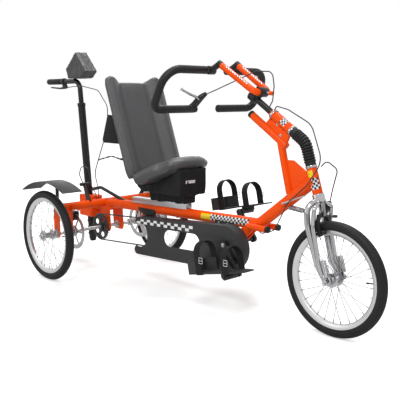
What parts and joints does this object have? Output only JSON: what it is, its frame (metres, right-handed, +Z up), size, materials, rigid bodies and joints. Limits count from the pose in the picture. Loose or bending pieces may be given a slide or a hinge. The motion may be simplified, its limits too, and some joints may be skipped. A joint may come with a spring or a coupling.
{
  "type": "adaptive tricycle",
  "caption": "Recumbent adaptive tricycle with a steered front wheel, chain guard, footplates, reclined bucket seat, bellows steering column and a helper's handle.",
  "frame": {"origin": "at floor level under the middle of the whole tricycle's box", "axes": "+X forward, +Y to the rider's left, +Z up"},
  "size_m": [2.472, 0.91, 1.265],
  "materials": {
    "orange_paint": "gloss",
    "tyre_rubber": "matte",
    "rim_alloy": "satin",
    "chrome_plate": "polished",
    "bright_steel": "satin",
    "black_paint": "satin",
    "chain_steel": "oiled",
    "guard_plastic": "satin",
    "black_rubber": "matte",
    "black_vinyl": "satin",
    "black_fabric": "woven",
    "cable_sheath": "satin"
  },
  "bodies": {
    "frame": {"accessory_tubes": "orange_paint", "axle_bearings": "bright_steel", "axle_plates": "orange_paint", "bellows": "black_rubber", "brace_tube": "black_paint", "brake_calipers": "black_paint", "chain": "chain_steel", "chain_guard": "guard_plastic", "clamp_block": "orange_paint", "clamp_rings": "chrome_plate", "crank_shell": "orange_paint", "down_tube": "orange_paint", "fenders": "guard_plastic", "frame_cables": "cable_sheath", "frame_plates": "orange_paint", "guard_brackets": "black_paint", "handle_bar": "black_paint", "handle_grip": "black_rubber", "handle_post": "black_paint", "main_tube": "orange_paint", "mast": "orange_paint", "parking_lever": "black_paint", "pouch": "black_fabric", "rear_beam": "orange_paint", "rear_brake_lever": "black_paint", "seat_rail": "bright_steel", "steering_damper": "chrome_plate", "steering_tubes": "orange_paint", "tube_caps": "black_rubber"},
    "fork": {"fork": "chrome_plate", "fork_struts": "chrome_plate", "front_axle": "chrome_plate", "front_brake": "black_paint", "front_cable": "cable_sheath"},
    "front_wheel": {"tyre_front": "tyre_rubber", "wheel_front": "rim_alloy"},
    "drive_wheel": {"drive_axle": "bright_steel", "wheel_rear_right": "rim_alloy", "tyre_rear_right": "tyre_rubber", "disc_right": "bright_steel", "sprocket": "black_paint"},
    "left_wheel": {"stub_axle": "bright_steel", "wheel_rear_left": "rim_alloy", "tyre_rear_left": "tyre_rubber", "disc_left": "bright_steel"},
    "cranks": {"cranks": "black_paint", "chainring": "black_paint"},
    "pedal_right": {"footplate_right": "guard_plastic", "foot_straps_right": "black_fabric"},
    "pedal_left": {"footplate_left": "guard_plastic", "foot_straps_left": "black_fabric"},
    "handlebar": {"stem": "black_paint", "handlebar_yoke": "orange_paint", "loop_grips": "black_rubber", "loop_clamps": "black_paint", "brake_lever": "black_paint", "lever_cable": "cable_sheath"},
    "seat": {"seat_cushion": "black_vinyl", "seat_back": "black_vinyl", "seat_base": "black_fabric"}
  },
  "joints": [
    {"name": "fork_steer", "type": "hinge", "parent": "frame", "child": "fork", "pos_m": [0.872, 0, 0.6585], "axis": [-0.3186, 0, 0.9479], "range_deg": [-35, 35]},
    {"name": "handlebar_steer", "type": "hinge", "parent": "frame", "child": "handlebar", "pos_m": [0.697, 0, 0.891], "axis": [-0.8384, 0, 0.545], "range_deg": [-35, 35]},
    {"name": "front_wheel_spin", "type": "hinge", "parent": "fork", "child": "front_wheel", "pos_m": [0.988, 0, 0.248], "axis": [0, 1, 0], "continuous": true},
    {"name": "drive_wheel_spin", "type": "hinge", "parent": "frame", "child": "drive_wheel", "pos_m": [-0.619, 0, 0.248], "axis": [0, 1, 0], "continuous": true},
    {"name": "left_wheel_spin", "type": "hinge", "parent": "frame", "child": "left_wheel", "pos_m": [-0.619, 0.4, 0.248], "axis": [0, 1, 0], "continuous": true},
    {"name": "crank_spin", "type": "hinge", "parent": "frame", "child": "cranks", "pos_m": [0.443, 0, 0.322], "axis": [0, 1, 0], "continuous": true},
    {"name": "pedal_right_spin", "type": "hinge", "parent": "cranks", "child": "pedal_right", "pos_m": [0.53658, -0.16, 0.20222], "axis": [0, 1, 0], "continuous": true},
    {"name": "pedal_left_spin", "type": "hinge", "parent": "cranks", "child": "pedal_left", "pos_m": [0.34942, 0.16, 0.44178], "axis": [0, 1, 0], "continuous": true},
    {"name": "seat_slide", "type": "slide", "parent": "frame", "child": "seat", "axis": [0.9996, 0, 0.0295], "range_m": [-0.05, 0.05]}
  ],
  "couplings": [
    {"joint": "handlebar_steer", "follows": "fork_steer", "ratio": 1},
    {"joint": "pedal_right_spin", "follows": "crank_spin", "ratio": -1},
    {"joint": "pedal_left_spin", "follows": "crank_spin", "ratio": -1}
  ]
}
